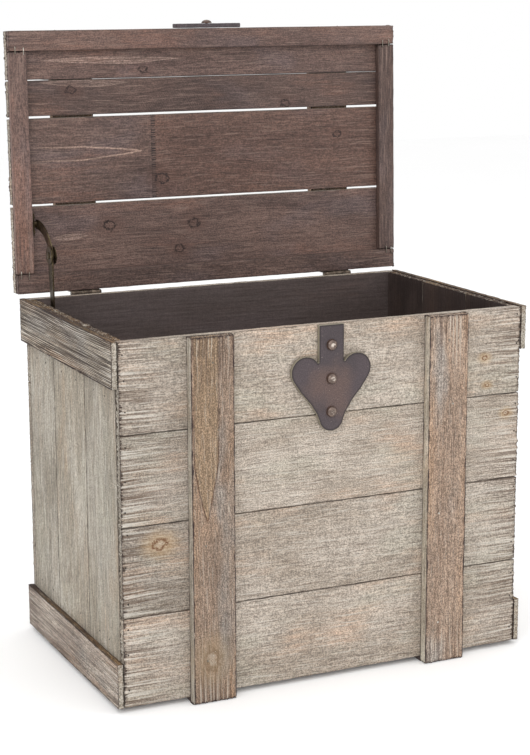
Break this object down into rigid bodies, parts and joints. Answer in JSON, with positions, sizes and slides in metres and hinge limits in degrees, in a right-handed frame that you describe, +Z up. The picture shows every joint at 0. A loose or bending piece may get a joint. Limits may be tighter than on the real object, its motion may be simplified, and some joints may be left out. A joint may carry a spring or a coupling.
{
  "type": "wooden toy box",
  "caption": "Weathered plank toy box with battens, an iron heart plate, and a framed lid on butt hinges held open by a folding stay.",
  "frame": {"origin": "on the floor, under the middle of the whole object as it stands with its lid open: mid-width, and halfway from the front of the front straps to the back of the open lid", "axes": "+Z up, +X to the right of someone facing the front, +Y from the front towards the hinges at the back"},
  "size_m": [0.576, 0.4125, 0.8261],
  "materials": {
    "whitewashed_wood": "worn grey-beige whitewash over sawn softwood, dark at the edges",
    "brown_wood": "brown stained and wire-brushed softwood with pale scuffs",
    "dark_stained_wood": "dark reddish-brown stain, matt",
    "dark_lining_wood": "very dark brown stain, matt",
    "rusty_iron": "dark purple-brown, lightly rusted",
    "copper_brown_rivet": "worn copper-brown domed heads",
    "hinge_steel": "dull plated steel",
    "antique_brass": "dark antique brass with bright worn edges"
  },
  "bodies": {
    "box": {"back_plank_1": "whitewashed_wood", "back_plank_2": "whitewashed_wood", "back_plank_3": "whitewashed_wood", "back_plank_4": "whitewashed_wood", "bottom_panel": "dark_lining_wood", "front_plank_1": "whitewashed_wood", "front_plank_2": "whitewashed_wood", "front_plank_3": "whitewashed_wood", "front_plank_4": "whitewashed_wood", "heart_plate": "rusty_iron", "heart_rivet_1": "copper_brown_rivet", "heart_rivet_2": "copper_brown_rivet", "heart_rivet_3": "copper_brown_rivet", "left_bottom_trim": "brown_wood", "left_end_plank_1": "whitewashed_wood", "left_end_plank_2": "whitewashed_wood", "left_end_plank_3": "whitewashed_wood", "left_front_strap": "brown_wood", "left_hinge_body_leaf": "hinge_steel", "left_hinge_pin": "hinge_steel", "left_runner": "brown_wood", "left_top_trim": "brown_wood", "right_bottom_trim": "brown_wood", "right_end_plank_1": "whitewashed_wood", "right_end_plank_2": "whitewashed_wood", "right_end_plank_3": "whitewashed_wood", "right_front_strap": "brown_wood", "right_hinge_body_leaf": "hinge_steel", "right_hinge_pin": "hinge_steel", "right_runner": "brown_wood", "right_top_trim": "brown_wood", "stay_body_bracket": "antique_brass", "stay_lower_pin": "antique_brass"},
    "lid": {"left_hinge_lid_leaf": "hinge_steel", "left_lid_strap": "brown_wood", "lid_frame_back": "dark_stained_wood", "lid_frame_front": "dark_stained_wood", "lid_frame_left": "dark_stained_wood", "lid_frame_right": "dark_stained_wood", "lid_latch_plate": "rusty_iron", "lid_latch_rivet": "copper_brown_rivet", "lid_plank_1": "dark_stained_wood", "lid_plank_2": "dark_stained_wood", "lid_plank_3": "dark_stained_wood", "lid_plank_4": "dark_stained_wood", "right_hinge_lid_leaf": "hinge_steel", "right_lid_strap": "brown_wood", "stay_lid_bracket": "antique_brass", "stay_upper_pin": "antique_brass"},
    "stay_lower": {"stay_lower_arm": "antique_brass", "stay_inner_knob": "antique_brass"},
    "stay_upper": {"stay_upper_arm": "antique_brass", "stay_outer_knob": "antique_brass"}
  },
  "joints": [
    {"name": "lid_hinge", "type": "hinge", "parent": "box", "child": "lid", "pos_m": [0, 0.15904, 0.4642], "axis": [1, 0, 0], "range_deg": [0, 91.57]},
    {"name": "stay_lower_pivot", "type": "hinge", "parent": "box", "child": "stay_lower", "pos_m": [-0.259, 0.10004, 0.4297], "axis": [1, 0, 0], "range_deg": [0, 91.57]},
    {"name": "stay_upper_pivot", "type": "hinge", "parent": "lid", "child": "stay_upper", "pos_m": [-0.2566, 0.16475, 0.5605], "axis": [1, 0, 0], "range_deg": [-91.57, 0]}
  ],
  "couplings": [
    {"joint": "stay_lower_pivot", "follows": "lid_hinge", "ratio": 1},
    {"joint": "stay_upper_pivot", "follows": "lid_hinge", "ratio": -1}
  ]
}
